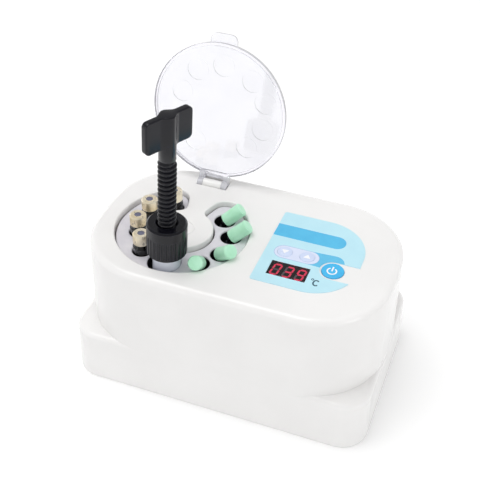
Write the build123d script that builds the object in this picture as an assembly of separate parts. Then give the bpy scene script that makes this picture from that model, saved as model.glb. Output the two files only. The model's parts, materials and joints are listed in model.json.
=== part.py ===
from build123d import *
from math import atan2, cos, hypot, radians, sin, sqrt, tan
import os

# Bench warmer for dental filling material: a moulded housing, a heated block with wells, a hinged
# clear lid and a key panel, with a screw syringe, four compules and four cartridges in the wells.
# Millimetres, +Z up, +X to the right, +Y to the back.
# The origin is the middle of the housing's bottom rim, on the table.

# Housing, outside
top_width = 100.0
body_height = 80.5
ledge_height = 30.5
upper_draft = 0.019
base_draft = 0.030
end_corner_radius = 39.0
end_bulge_radius = 200.0
base_corner_radius = 14.0
top_edge_round = 3.5
ledge_edge_round = 2.5
rim_edge_round = 0.8

# Housing, inside
side_wall = 2.4
top_skin = 3.0
ledge_skin = 2.5
boss_diameter = 6.4
screw_hole_diameter = 3.0

# Recess over the heated block, and the block
recess_front_margin = 9.3
recess_back_margin = 18.7
recess_left_margin = 11.1
slot_width = 19.4
bridge_start_angle = 72.6
bridge_end_angle = 105.0
slot_outer_corner = 8.0
slot_inner_corner = 4.5
slot_edge_round = 0.8
skirt_wall = 1.6
skirt_depth = 6.0
block_gap = 0.6
block_drop = 3.0
block_edge = 0.4
well_floor = 6.0
hub_ring_diameter = 13.0
hub_ring_height = 0.3

# Wells, by what stands in them: angle about the recess, and shift out from the middle of the slot
syringe_well_diameter = 17.6
cartridge_well_diameter = 10.4
compule_well_diameter = 11.5
compule_well_depth = 20.2
well_edge = 0.4
syringe_well = (-88.0, -0.4)
cartridge_wells = ((-122.6, -0.9), (-160.8, -3.0), (161.9, -3.0), (123.7, -3.0))
compule_wells = ((-48.6, 0.6), (-20.2, 1.2), (12.6, -0.1), (45.7, -1.4))

# Parts under the block
heater_thickness = 1.5
post_diameter = 9.0
post_height = 17.5
post_angles = (-68.0, 28.0, 145.0)
sensor_diameter = 4.0
sensor_angle = -5.0
jacket_gap = 0.5
jacket_thickness = 3.0
jacket_bottom_gap = 4.0

# Base plate, feet and screws
plate_thickness = 2.4
plate_recess = 1.6
plate_clearance = 0.3
foot_diameter = 13.0
foot_inset = 21.0
screw_diameter = 2.9
screw_head_diameter = 5.6
screw_head_height = 1.2
screw_head_clearance = 0.3
screw_gap = 0.05
base_boss_inset = 10.5
base_screw_length = 12.0

# Key panel
label_length = 50.0
label_width = 59.0
label_thickness = 0.3
label_gap = 10.9
label_right_margin = 19.0
label_offset_y = -0.5
label_left_corner = 1.5
label_right_corner = 24.0
power_key_diameter = 11.6
arrow_key_diameter = 8.0
key_clearance = 0.2
key_proud = 0.35
key_travel = 0.4
key_flange = 1.0
key_flange_thickness = 1.0
key_stem_diameter = 3.0
key_edge = 0.45
switch_bite = 1.0
power_notch_width = 13.8
display_length = 20.4
display_width = 11.0
display_margin = 1.6
display_pin_pitch = 2.54
display_pin_rows = 10.16
display_pin_diameter = 0.6
lens_thickness = 0.8
lens_drop = 0.05
lens_air = 0.4
lens_clearance = 0.1

# Control board and its parts
board_thickness = 1.6
board_drop = 12.5
board_edge = 2.5
board_boss_inset = 3.5
switch_size = 6.0
switch_height = 3.5

# Power inlet
inlet_hole_diameter = 8.0
inlet_bore_diameter = 5.6
inlet_pin_diameter = 2.1
inlet_length = 14.0
inlet_x = 42.0
inlet_height = 13.0
inlet_bezel_diameter = 10.6
inlet_bezel_thickness = 1.2
inlet_nut_radius = 6.2
inlet_nut_thickness = 2.0

# Lid and hinge
lid_overlap = 2.2
lid_plate = 1.6
lid_skirt_wall = 1.6
lid_skirt_depth = 1.5
lid_edge_round = 0.8
lid_gap = 0.1
lid_open_angle = 100.1
lid_tab_width = 15.0
lid_tab_length = 4.8
lid_ring_diameter = 12.0
lid_ring_depth = 0.25
hinge_width = 17.4
hinge_setback = 7.7
hinge_drop = 0.4
hinge_chord = 6.2
knuckle_radius = 2.9
ear_width = 3.1
ear_clearance = 0.2
window_setback = 3.9
web_thickness = 2.0
pin_diameter = 2.0
pin_running_clearance = 0.05
hinge_flange_side = 5.0
hinge_flange_end = 1.2
hinge_flange_thickness = 2.4
hinge_screw_diameter = 1.9
hinge_screw_head = 3.6
hinge_screw_bite = 2.2
stop_height = 2.8
stop_back = 6.4
stop_gap = 0.05

# Syringe with its screw
barrel_diameter = 14.5
barrel_wall = 1.2
barrel_length = 57.9
barrel_flange_diameter = 17.4
barrel_flange_thickness = 2.0
barrel_cone_length = 6.0
nozzle_diameter = 5.0
nozzle_length = 5.0
nozzle_bore = 2.4
syringe_lean = 2.4
collar_diameter = 20.7
collar_height = 18.3
collar_rib_height = 12.0
collar_ribs = 28
collar_rib_depth = 0.45
collar_edge = 0.9
collar_mouth_diameter = 11.6
collar_mouth_depth = 1.6
thread_diameter = 9.4
thread_clearance = 0.15
thread_exposed = 37.6
stem_diameter = 8.6
stem_length = 7.5
handle_width = 28.0
handle_height = 17.2
handle_thickness = 3.7
handle_corner = 2.6
handle_edge = 0.7
handle_swell = 10.4
handle_turn = 64.0
piston_length = 7.0
piston_clearance = 0.1
piston_tip_length = 3.0

# Cartridges
cartridge_diameter = 9.4
cartridge_length = 61.4
cartridge_wall = 1.0
cartridge_neck_diameter = 6.2
cartridge_lip = 1.6
cap_diameter = 8.9
cap_height = 5.7
cap_wall = 0.3
cap_edge = 0.6
cap_hole_diameter = 3.8
seal_thickness = 1.2
seal_drop = 0.25
stopper_length = 6.0
stopper_drop = 1.0

# Compules: a body that stands in its well, a bent nozzle and the cap on it
compule_diameter = 8.0
compule_length = 18.0
compule_wall = 0.9
compule_cone_length = 2.0
compule_plug_length = 2.0
compule_plug_drop = 0.6
compule_nozzle_diameter = 3.0
compule_nozzle_tip = 1.8
compule_nozzle_reach = 8.0
compule_bend_radius = 2.2
compule_bend_rise = 2.2
compule_tilt = 50.4
compule_headings = (-79.8, -29.7, 22.8, 26.5)
compule_shifts = ((0.3, 0.0), (-1.0, -0.6), (-0.3, -1.3), (-0.2, -1.3))
green_cap_diameter = 7.6
green_cap_length = 11.7
green_cap_start = 1.3
green_cap_depth = 9.5
green_cap_edge = 0.6
fit_gap = 0.05

# Worked-out sizes and places
recess_radius = (top_width - recess_front_margin - recess_back_margin) / 2
top_length = recess_left_margin + 2 * recess_radius + label_gap + label_length + label_right_margin
recess_x = -top_length / 2 + recess_left_margin + recess_radius
recess_y = -top_width / 2 + recess_front_margin + recess_radius
recess_centre = (recess_x, recess_y)
hub_radius = recess_radius - slot_width
ring_radius = recess_radius - slot_width / 2
plate_top = plate_recess + plate_thickness
block_top = body_height - block_drop
block_bottom = plate_top + post_height
well_bottom = block_bottom + well_floor
well_depth = block_top - well_bottom
compule_floor = block_top - compule_well_depth
skin_underside = body_height - top_skin
ledge_length = top_length + 2 * upper_draft * (body_height - ledge_height)
ledge_width = top_width + 2 * upper_draft * (body_height - ledge_height)
label_x = top_length / 2 - label_right_margin - label_length / 2
label_top = body_height + label_thickness
power_key_place = (label_x + 12.6, label_offset_y - 9.15)
up_key_place = (label_x - 2.6, label_offset_y - 3.4)
down_key_place = (label_x - 14.6, label_offset_y - 3.4)
display_place = (label_x - 8.4, label_offset_y - 17.4)
board_top = body_height - board_drop
board_length = label_length + 2 * board_edge
board_width = label_width - 2 * board_edge
hinge_y = recess_y + recess_radius + hinge_setback
hinge_z = body_height - hinge_drop
lid_radius = recess_radius + lid_overlap
lid_bottom = body_height + lid_gap
lid_top = lid_bottom + lid_skirt_depth + lid_plate
hinge_axis = Axis((recess_x, hinge_y, hinge_z), (1, 0, 0))
collar_bottom = barrel_length


def well_place(angle, shift=0.0):
    """Centre of a well, at an angle about the recess and shifted out from the middle of the slot."""
    radius = ring_radius + shift
    return (
        recess_x + radius * cos(radians(angle)),
        recess_y + radius * sin(radians(angle)),
    )


def end_outline(length, width, corner, bulge, z):
    """Long outline whose ends are a slack arc between two tight ones, all tangent."""
    reach = bulge - corner
    rise = width / 2 - corner
    bulge_x = length / 2 - bulge
    corner_x = bulge_x + sqrt(reach**2 - rise**2)
    slant = atan2(rise, corner_x - bulge_x)
    joint_x = bulge_x + bulge * cos(slant)
    joint_y = bulge * sin(slant)
    middle = (slant + radians(90)) / 2
    corner_mid_x = corner_x + corner * cos(middle)
    corner_mid_y = rise + corner * sin(middle)
    half = width / 2
    edges = []
    for side in (1, -1):
        edges.append(
            ThreePointArc(
                (side * corner_x, -side * half),
                (side * corner_mid_x, -side * corner_mid_y),
                (side * joint_x, -side * joint_y),
            )
        )
        edges.append(
            ThreePointArc(
                (side * joint_x, -side * joint_y),
                (side * length / 2, 0),
                (side * joint_x, side * joint_y),
            )
        )
        edges.append(
            ThreePointArc(
                (side * joint_x, side * joint_y),
                (side * corner_mid_x, side * corner_mid_y),
                (side * corner_x, side * half),
            )
        )
        edges.append(Line((side * corner_x, side * half), (-side * corner_x, side * half)))
    return Pos(0, 0, z) * make_face(edges)


def base_outline(length, width, corner, z):
    """Rounded rectangle of the base, at one height."""
    return Pos(0, 0, z) * RectangleRounded(length, width, corner)


def upper_block(inset, low, high):
    """Drafted upper body from one height to another, drawn in by an inset."""
    faces = []
    for z in (low, high):
        grow = upper_draft * (body_height - z) - inset
        faces.append(
            end_outline(
                top_length + 2 * grow,
                top_width + 2 * grow,
                end_corner_radius + grow,
                end_bulge_radius + grow,
                z,
            )
        )
    return loft(faces, ruled=True)


def base_block(inset, low, high):
    """Drafted base from one height to another, drawn in by an inset."""
    faces = []
    for z in (low, high):
        grow = base_draft * (ledge_height - z) - inset
        faces.append(
            base_outline(
                ledge_length + 2 * grow,
                ledge_width + 2 * grow,
                base_corner_radius + grow,
                z,
            )
        )
    return loft(faces, ruled=True)


def ring_slot(inset=0.0):
    """C-shaped face round the hub, open at the bridge, drawn in by an inset."""
    outer = recess_radius
    inner = hub_radius
    sweep = 360 - (bridge_end_angle - bridge_start_angle)
    start = radians(bridge_end_angle)
    stop = radians(bridge_start_angle)
    edges = [
        CenterArc((0, 0), outer, bridge_end_angle, sweep),
        Line((outer * cos(stop), outer * sin(stop)), (inner * cos(stop), inner * sin(stop))),
        CenterArc((0, 0), inner, bridge_end_angle, sweep),
        Line((inner * cos(start), inner * sin(start)), (outer * cos(start), outer * sin(start))),
    ]
    face = make_face(edges)
    corners = face.vertices().sort_by(lambda v: hypot(v.X, v.Y))
    face = fillet(corners[:2], slot_inner_corner)
    corners = [v for v in face.vertices() if abs(hypot(v.X, v.Y) - outer) < 0.01]
    face = fillet(corners, slot_outer_corner)
    if inset:
        face = offset(face, amount=-inset)
    return Pos(recess_x, recess_y) * face


def at_height(face, z, height):
    """Solid raised from a flat face that lies at zero."""
    return extrude(Pos(0, 0, z) * face, height)


def tube(place, z, outer, height, inner=0.0):
    """Upright post, or a tube when it has an inner diameter."""
    face = Circle(outer / 2)
    if inner:
        face = face - Circle(inner / 2)
    return Pos(place[0], place[1], z) * extrude(face, height)


def pan_screw(place, z, length, diameter=screw_diameter, head_diameter=screw_head_diameter):
    """Screw driven upwards, with the upper side of its head at z."""
    head = tube(place, z - screw_head_height, head_diameter, screw_head_height)
    head = chamfer(head.edges().group_by(Axis.Z)[0], screw_head_height * 0.35)
    drive = tube(place, z - screw_head_height, head_diameter * 0.4, screw_head_height * 0.5)
    return head - drive + tube(place, z, diameter, length)


def corner_places(x, y, centre=(0, 0)):
    """Four places mirrored about a centre."""
    return [(centre[0] + sx * x, centre[1] + sy * y) for sx in (-1, 1) for sy in (-1, 1)]


base_screw_places = corner_places(ledge_length / 2 - base_boss_inset, ledge_width / 2 - base_boss_inset)
foot_places = corner_places(ledge_length / 2 - foot_inset - 4, ledge_width / 2 - foot_inset + 4)
board_screw_places = corner_places(
    board_length / 2 - board_boss_inset, board_width / 2 - board_boss_inset, (label_x, label_offset_y)
)
post_places = [well_place(angle) for angle in post_angles]
wells = [(syringe_well, syringe_well_diameter, well_bottom)]
wells += [(well, cartridge_well_diameter, well_bottom) for well in cartridge_wells]
wells += [(well, compule_well_diameter, compule_floor) for well in compule_wells]
hinge_screw_x = (hinge_width + hinge_flange_side) / 2 + 0.25
hinge_screw_places = [(recess_x + side * hinge_screw_x, hinge_y + 2.0) for side in (-1, 1)]
hinge_block_bottom = skin_underside - screw_gap - hinge_flange_thickness


def make_housing():
    """Moulded shell: two drafted blocks, hollowed, with the recess, bosses and openings."""
    upper = upper_block(0, 12, body_height)
    upper = fillet(upper.edges().group_by(Axis.Z)[-1], top_edge_round)
    base = base_block(0, 0, ledge_height)
    base = fillet(base.edges().group_by(Axis.Z)[-1], ledge_edge_round)
    base = fillet(base.edges().group_by(Axis.Z)[0], rim_edge_round)
    shell = base + upper
    shell -= upper_block(side_wall, -1, skin_underside)
    shell -= base_block(side_wall, -1, ledge_height - ledge_skin)

    # Recess with its skirt, and the raised ring on the hub
    slot = ring_slot()
    shell -= at_height(slot, skin_underside - 1, top_skin + 2)
    rim = [
        e
        for e in shell.edges().group_by(Axis.Z)[-1]
        if hypot(e.center().X - recess_x, e.center().Y - recess_y) < recess_radius + 1
    ]
    shell = fillet(rim, slot_edge_round)
    skirt = ring_slot(-skirt_wall) - slot
    shell += at_height(skirt, body_height - skirt_depth, skirt_depth - top_skin + 0.5)
    ring_height = 0.5 + hub_ring_height
    shell += tube(recess_centre, body_height - 0.5, hub_ring_diameter, ring_height, hub_ring_diameter - 1)

    # Board bosses and base bosses
    for place in board_screw_places:
        depth = skin_underside - board_top
        shell += tube(place, board_top, boss_diameter, depth + 0.5)
        shell -= tube(place, board_top - 1, screw_hole_diameter, depth)
    for place in base_screw_places:
        depth = ledge_height - ledge_skin - plate_top
        shell += tube(place, plate_top, boss_diameter, depth + 0.5)
        shell -= tube(place, plate_top - 1, screw_hole_diameter, depth)

    # Openings for the keys, the display, the hinge and the inlet
    for place, diameter in key_list():
        shell -= tube(place, skin_underside - 1, diameter + 2 * key_clearance, top_skin + 2)
    window = Pos(*display_place) * Rectangle(display_length, display_width)
    shell -= at_height(window, skin_underside - 1, top_skin + 2)
    shell -= at_height(hinge_pocket(0), skin_underside - 1, top_skin + 2)
    for place in hinge_screw_places:
        shell -= tube(place, skin_underside - 1, hinge_screw_diameter + 0.1, 1 + hinge_screw_bite + 0.2)
    wall_y = ledge_width / 2 + base_draft * (ledge_height - inlet_height)
    hole = extrude(Circle(inlet_hole_diameter / 2 + 0.1), inlet_length, both=True)
    shell -= Pos(inlet_x, wall_y, inlet_height) * Rot(90, 0, 0) * hole
    return shell


def key_list():
    """Place and diameter of each key."""
    return [
        (power_key_place, power_key_diameter),
        (up_key_place, arrow_key_diameter),
        (down_key_place, arrow_key_diameter),
    ]


def hinge_pocket(inset, grow_side=0.0, grow_end=0.0):
    """Rectangle in the top behind the recess that takes the hinge block, or its flange."""
    front = hinge_y - knuckle_radius - 0.3
    back = hinge_y + stop_back
    length = hinge_width + 0.5 - 2 * inset + 2 * grow_side
    face = Rectangle(length, back - front - 2 * inset + 2 * grow_end)
    return Pos(recess_x, (front + back) / 2) * face


def make_base_plate():
    """Flat cover inside the rim, with screw holes, head pockets and air slots."""
    grow = base_draft * (ledge_height - plate_recess) - side_wall - plate_clearance
    face = base_outline(
        ledge_length + 2 * grow, ledge_width + 2 * grow, base_corner_radius - side_wall, 0
    )
    plate = at_height(face, plate_recess, plate_thickness)
    head_hole = screw_head_diameter + 2 * screw_head_clearance
    for place in base_screw_places + post_places:
        plate -= tube(place, plate_recess, head_hole, screw_head_height + screw_gap)
        plate -= tube(place, plate_recess - 1, screw_hole_diameter + 0.2, plate_thickness + 2)
    for i in range(6):
        slot = Pos(label_x - 17.5 + 7 * i, label_offset_y) * SlotOverall(26, 2.4, rotation=90)
        plate -= at_height(slot, plate_recess - 1, plate_thickness + 2)
    return plate


def make_base_screws():
    """Screws that hold the cover under the housing."""
    z = plate_recess + screw_head_height
    return Compound([pan_screw(place, z, base_screw_length) for place in base_screw_places])


def make_feet():
    """Four rubber pads under the base plate, level with the rim."""
    feet = []
    for place in foot_places:
        pad = tube(place, 0, foot_diameter, plate_recess)
        feet.append(chamfer(pad.edges().group_by(Axis.Z)[0], 0.3))
    return Compound(feet)


def make_heating_block():
    """Aluminium block that fills the recess, drilled with the wells."""
    block = at_height(ring_slot(block_gap), block_bottom, block_top - block_bottom)
    block = chamfer(block.edges().group_by(Axis.Z)[-1], block_edge)
    for well, diameter, floor in wells:
        place = well_place(*well)
        block -= tube(place, floor, diameter, block_top - floor + 1)
        block -= Pos(*place, block_top - well_edge) * Cone(
            diameter / 2, diameter / 2 + well_edge, well_edge, align=(Align.CENTER, Align.CENTER, Align.MIN)
        )
    for place in post_places:
        block -= tube(place, block_bottom - 1, screw_hole_diameter, 5.5)
    block -= tube(well_place(sensor_angle), block_bottom - 1, sensor_diameter + 0.2, 5.2)
    return block


def make_heater():
    """Flat heater pad bonded under the block, cut away round the posts and the sensor."""
    pad = at_height(ring_slot(block_gap + 1.0), block_bottom - heater_thickness, heater_thickness)
    for place in post_places:
        pad -= tube(place, block_bottom - 5, post_diameter + 1.0, 10)
    pad -= tube(well_place(sensor_angle), block_bottom - 5, sensor_diameter + 1.0, 10)
    return pad


def make_posts():
    """Insulating posts that carry the block on the base plate."""
    height = block_bottom - plate_top
    return Compound(
        [tube(place, plate_top, post_diameter, height, screw_hole_diameter + 0.2) for place in post_places]
    )


def make_post_screws():
    """Long screws through the base plate and the posts into the block."""
    z = plate_recess + screw_head_height
    length = block_bottom + 4.0 - z
    return Compound([pan_screw(place, z, length) for place in post_places])


def make_sensor():
    """Temperature probe in its hole under the block, with its lead stub."""
    place = well_place(sensor_angle)
    return tube(place, block_bottom - 5, sensor_diameter, 9)


def make_fuse():
    """Thermal fuse clamped under the heater pad."""
    place = well_place(-105)
    body = Pos(*place, block_bottom - heater_thickness - 2.1) * Rot(0, 90, 15) * Cylinder(1.9, 11)
    leads = Pos(*place, block_bottom - heater_thickness - 2.1) * Rot(0, 90, 15) * Cylinder(0.5, 19)
    return body + leads


def make_jacket():
    """Felt band round the outside of the block."""
    inner = recess_radius - block_gap + jacket_gap
    outer = inner + jacket_thickness
    sweep = 360 - (bridge_end_angle - bridge_start_angle) - 24
    start = bridge_end_angle + 12
    low = block_bottom + jacket_bottom_gap
    high = body_height - skirt_depth - 1.5
    first = radians(start)
    last = radians(start + sweep)
    face = make_face(
        [
            CenterArc((0, 0), outer, start, sweep),
            Line((outer * cos(last), outer * sin(last)), (inner * cos(last), inner * sin(last))),
            CenterArc((0, 0), inner, start, sweep),
            Line((inner * cos(first), inner * sin(first)), (outer * cos(first), outer * sin(first))),
        ]
    )
    return at_height(Pos(recess_x, recess_y) * face, low, high - low)


def make_board():
    """Printed circuit board hung from four bosses."""
    face = Pos(label_x, label_offset_y) * RectangleRounded(board_length, board_width, 2.0)
    board = at_height(face, board_top - board_thickness, board_thickness)
    for place in board_screw_places:
        board -= tube(place, board_top - 5, screw_hole_diameter + 0.2, 10)
    return board


def make_board_screws():
    """Screws that hold the board up against its bosses."""
    z = board_top - board_thickness
    return Compound([pan_screw(place, z - screw_gap, 7.0) for place in board_screw_places])


def make_switches():
    """Three push switches on the board, each open at the top for a key's stem."""
    switches = []
    for place, _ in key_list():
        face = Pos(*place) * RectangleRounded(switch_size, switch_size, 0.6)
        case = at_height(face, board_top, switch_height)
        switches.append(case - tube(place, board_top + 1.0, key_stem_diameter + 0.6, switch_height))
    return Compound(switches)


def make_display():
    """Three-digit display block under its window."""
    top = label_top - lens_drop - lens_thickness - lens_air
    middle = Pos(*display_place)
    wide = middle * Rectangle(display_length + 2 * display_margin, display_width + 2 * display_margin)
    face = middle * Rectangle(display_length - 0.6, display_width - 0.6)
    foot = board_top + 0.5
    block = at_height(wide, foot, skin_underside - 0.3 - foot)
    block += at_height(face, skin_underside - 0.5, top - skin_underside + 0.5)
    for i in range(6):
        pin_x = display_place[0] + (i - 2.5) * display_pin_pitch
        for side in (-1, 1):
            pin_y = display_place[1] + side * display_pin_rows / 2
            block += tube((pin_x, pin_y), board_top, display_pin_diameter, 1.0)
    return block


def make_lens():
    """Dark window over the display, level with the label."""
    face = Rectangle(display_length - 2 * lens_clearance, display_width - 2 * lens_clearance)
    return at_height(Pos(*display_place) * face, label_top - lens_drop - lens_thickness, lens_thickness)


def make_label():
    """Thin printed label with cut-outs for the display, the keys and the power key's notch."""
    x0 = -label_length / 2
    y0 = -label_width / 2
    face = Rectangle(label_length, label_width)
    left = face.vertices().sort_by(Axis.X)[:2]
    face = fillet(left, label_left_corner)
    right = [v for v in face.vertices() if v.X > -x0 - 0.01]
    face = fillet(right, label_right_corner)
    face = Pos(label_x, label_offset_y) * face
    power_x, power_y = power_key_place
    reach = label_x - x0 - power_x + 1
    notch = Pos(power_x, power_y) * Circle(power_notch_width / 2)
    notch += Pos(power_x + reach / 2, power_y) * Rectangle(reach, power_notch_width)
    face -= notch
    for place in (up_key_place, down_key_place):
        face -= Pos(*place) * Circle(arrow_key_diameter / 2 + key_clearance)
    face -= Pos(*display_place) * Rectangle(display_length, display_width)
    return at_height(face, body_height, label_thickness)


def make_key(place, diameter):
    """Push key: a domed top, a flange under the skin and a stem into its switch."""
    top = label_top + key_proud
    flange_bottom = skin_underside - key_flange_thickness - screw_gap
    key = tube(place, flange_bottom, diameter + 2 * key_flange, key_flange_thickness)
    key += tube(place, flange_bottom, diameter, top - flange_bottom)
    key = fillet(key.edges().group_by(Axis.Z)[-1], key_edge)
    stem_bottom = board_top + switch_height - switch_bite
    key += tube(place, stem_bottom, key_stem_diameter, flange_bottom + screw_gap - stem_bottom)
    return key


def make_inlet():
    """Round power socket in the back wall, with its pin and an outside bezel."""
    wall_y = ledge_width / 2 + base_draft * (ledge_height - inlet_height)
    seat = tan(base_draft) * inlet_bezel_diameter / 2 + 0.05
    barrel = extrude(Circle(inlet_hole_diameter / 2), inlet_length)
    bezel = Pos(0, 0, -inlet_bezel_thickness - seat) * extrude(
        Circle(inlet_bezel_diameter / 2), inlet_bezel_thickness
    )
    bezel = fillet(bezel.edges().group_by(Axis.Z)[0], 0.5)
    body = bezel + Pos(0, 0, -seat) * extrude(Circle(inlet_hole_diameter / 2), seat + 0.1) + barrel
    body -= Pos(0, 0, -5) * extrude(Circle(inlet_bore_diameter / 2), 5 + inlet_length - 3)
    body += extrude(Circle(inlet_pin_diameter / 2), inlet_length - 2)
    ring = RegularPolygon(inlet_nut_radius, 6) - Circle(inlet_hole_diameter / 2 - 0.1)
    nut = Pos(0, 0, side_wall + 0.3) * extrude(ring, inlet_nut_thickness)
    return Pos(inlet_x, wall_y, inlet_height) * Rot(90, 0, 0) * (body + nut)


def lid_disc(inset=0.0):
    """Lid outline: a disc with a flat side at the hinge, drawn in by an inset."""
    radius = lid_radius - inset
    flat = hinge_y - hinge_chord - recess_y - inset
    half = sqrt(radius**2 - flat**2)
    edges = [
        Line((half, flat), (-half, flat)),
        ThreePointArc((-half, flat), (0, -radius), (half, flat)),
    ]
    return Pos(recess_x, recess_y) * make_face(edges)


def hinge_section(points):
    """Face across the hinge from (forward, up) points about the pin, as it is when the lid is closed."""
    corners = [Vector(0, hinge_y - u, hinge_z + v) for u, v in points]
    return make_face(Polyline(*corners, close=True))


def across(face, low, high):
    """Solid from a hinge section, between two places along the hinge."""
    return Pos(low, 0, 0) * extrude(face, high - low, dir=(1, 0, 0))


def make_lid():
    """Clear lid with its skirt, ears and finger tab, drawn closed and then turned open."""
    plate_bottom = lid_top - lid_plate
    lid = at_height(lid_disc(), lid_bottom, lid_top - lid_bottom)
    lid = fillet(lid.edges().group_by(Axis.Z)[-1], lid_edge_round)
    lid -= at_height(lid_disc(lid_skirt_wall), lid_bottom - 1, lid_skirt_depth + 1)
    tab_y = recess_y - lid_radius - lid_tab_length
    tab = Pos(recess_x, tab_y + 5) * Rectangle(lid_tab_width, 10)
    tab = fillet(tab.vertices().sort_by(Axis.Y)[:2], 3.8)
    lid += at_height(tab, plate_bottom + 0.2, lid_plate - 0.5)
    for well, _, _ in wells:
        lid -= tube(well_place(*well), plate_bottom - 1, lid_ring_diameter, 1 + lid_ring_depth)

    # Web and ears
    height = lid_top - hinge_z
    low = lid_bottom - hinge_z
    web = [
        (window_setback, height - web_thickness),
        (window_setback, height),
        (hinge_chord + 1.2, height),
        (hinge_chord + 1.2, height - web_thickness),
    ]
    reach = hinge_chord + 0.6
    ear = [(0, 0), (0, height), (reach, height), (reach, low), (knuckle_radius * 0.9, low)]
    x0 = recess_x - hinge_width / 2
    x1 = recess_x + hinge_width / 2
    lid += across(hinge_section(web), x0, x1)
    for low_x in (x0, x1 - ear_width):
        lid += across(hinge_section(ear), low_x, low_x + ear_width)
        knuckle = Pos(low_x, hinge_y, hinge_z) * Rot(0, 90, 0) * extrude(Circle(knuckle_radius), ear_width)
        lid += knuckle
    bore = Pos(x0 - 1, hinge_y, hinge_z) * Rot(0, 90, 0) * extrude(
        Circle(pin_diameter / 2 + pin_running_clearance), hinge_width + 2
    )
    lid -= bore
    return lid.rotate(hinge_axis, -lid_open_angle)


def make_hinge_pin():
    """Steel pin through the lid's ears and the block's knuckle."""
    length = hinge_width - 0.4
    pin = extrude(Circle(pin_diameter / 2), length)
    pin = Pos(recess_x - length / 2, hinge_y, hinge_z) * Rot(0, 90, 0) * pin
    return chamfer(pin.edges().filter_by(GeomType.CIRCLE), 0.25)


def make_hinge_block():
    """Knuckle block let into the top from below, with the stop that the open lid leans on."""
    x0 = recess_x - hinge_width / 2
    x1 = recess_x + hinge_width / 2
    inner_low = x0 + ear_width + ear_clearance
    inner_high = x1 - ear_width - ear_clearance
    top = skin_underside - screw_gap
    flange_face = hinge_pocket(0, hinge_flange_side, hinge_flange_end)
    flange = at_height(flange_face, hinge_block_bottom, hinge_flange_thickness)
    for place in hinge_screw_places:
        flange -= tube(place, hinge_block_bottom - 1, hinge_screw_diameter + 0.2, hinge_flange_thickness + 2)
    body = flange + at_height(hinge_pocket(0.15), top - 0.5, body_height - top + 0.5)

    # Room for the ears, with the stop wall behind them
    lean = radians(lid_open_angle - 90)
    height = lid_top - hinge_z
    stop_foot_y = hinge_y + (height + stop_gap) / cos(lean)
    face_y = stop_foot_y + (body_height - hinge_z) * tan(lean)
    face_top_y = face_y + stop_height * tan(lean)
    back_y = hinge_y + stop_back - 0.15
    stop = make_face(
        Polyline(
            (0, face_y, body_height - 0.5),
            (0, face_top_y, body_height + stop_height),
            (0, back_y - 0.6, body_height + stop_height),
            (0, back_y, body_height + stop_height - 0.6),
            (0, back_y, body_height - 0.5),
            close=True,
        )
    )
    body += across(stop, x0, x1)
    ear_front = hinge_y - knuckle_radius - 0.3
    ear_floor = hinge_z - knuckle_radius - 0.4
    for low_x, high_x in ((x0 - 0.25, inner_low), (inner_high, x1 + 0.25)):
        room = make_face(
            Polyline(
                (0, ear_front, ear_floor),
                (0, ear_front, body_height + 9),
                (0, face_y + 9 * tan(lean), body_height + 9),
                (0, face_y, body_height),
                (0, stop_foot_y, ear_floor),
                close=True,
            )
        )
        body -= across(room, low_x, high_x)

    # Middle of the block cut back to the knuckle
    cut = make_face(
        Polyline(
            (0, ear_front - 1, body_height - 1.2),
            (0, ear_front - 1, body_height + 9),
            (0, face_y + 9 * tan(lean), body_height + 9),
            (0, face_y - 1.2 * tan(lean), body_height - 1.2),
            close=True,
        )
    )
    body -= across(cut, inner_low, inner_high)
    knuckle = Pos(inner_low, hinge_y, hinge_z) * Rot(0, 90, 0) * extrude(
        Circle(knuckle_radius), inner_high - inner_low
    )
    body += knuckle
    body -= Pos(x0, hinge_y, hinge_z) * Rot(0, 90, 0) * extrude(Circle(pin_diameter / 2 + 0.02), hinge_width)
    return body


def make_hinge_screws():
    """Two short screws that hold the hinge block up under the top."""
    length = hinge_flange_thickness + screw_gap + hinge_screw_bite
    return Compound(
        [
            pan_screw(place, hinge_block_bottom, length, hinge_screw_diameter, hinge_screw_head)
            for place in hinge_screw_places
        ]
    )


syringe_place = well_place(*syringe_well)
lean_room = (syringe_well_diameter - barrel_diameter / cos(radians(syringe_lean))) / 2
syringe_mouth_x = syringe_place[0] + lean_room - 0.1
syringe_foot_x = syringe_mouth_x - well_depth * tan(radians(syringe_lean))
syringe_foot = (syringe_foot_x, syringe_place[1], well_bottom + 0.35)
syringe_axis = (sin(radians(syringe_lean)), 0, cos(radians(syringe_lean)))


def on_syringe(solid):
    """Puts a solid that stands on zero onto the leaning syringe axis."""
    return Pos(*syringe_foot) * Rot(0, syringe_lean, 0) * solid


def spin(points):
    """Round solid from (radius, height) points that begin and end on the axis."""
    corners = [Vector(r, 0, z) for r, z in points]
    return revolve(make_face(Polyline(*corners, close=True)), Axis.Z)


flange_bottom = barrel_length + 5.0
flange_top = flange_bottom + barrel_flange_thickness
collar_top = collar_bottom + collar_height
screw_start = collar_top + thread_exposed
handle_bottom = screw_start + stem_length
piston_top = flange_bottom - 6.0
piston_bottom = piston_top - piston_length


def make_syringe_barrel():
    """Barrel with a flange that the collar holds, a cone and a short nozzle."""
    outer = barrel_diameter / 2
    inner = outer - barrel_wall
    shoulder = nozzle_length + barrel_cone_length
    return spin(
        [
            (nozzle_bore / 2, 0),
            (nozzle_diameter / 2 - 0.4, 0),
            (nozzle_diameter / 2, nozzle_length),
            (outer, shoulder),
            (outer, flange_bottom),
            (barrel_flange_diameter / 2, flange_bottom),
            (barrel_flange_diameter / 2, flange_top),
            (inner, flange_top),
            (inner, shoulder + 0.6),
            (nozzle_bore / 2, nozzle_length + 0.6),
        ]
    )


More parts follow.
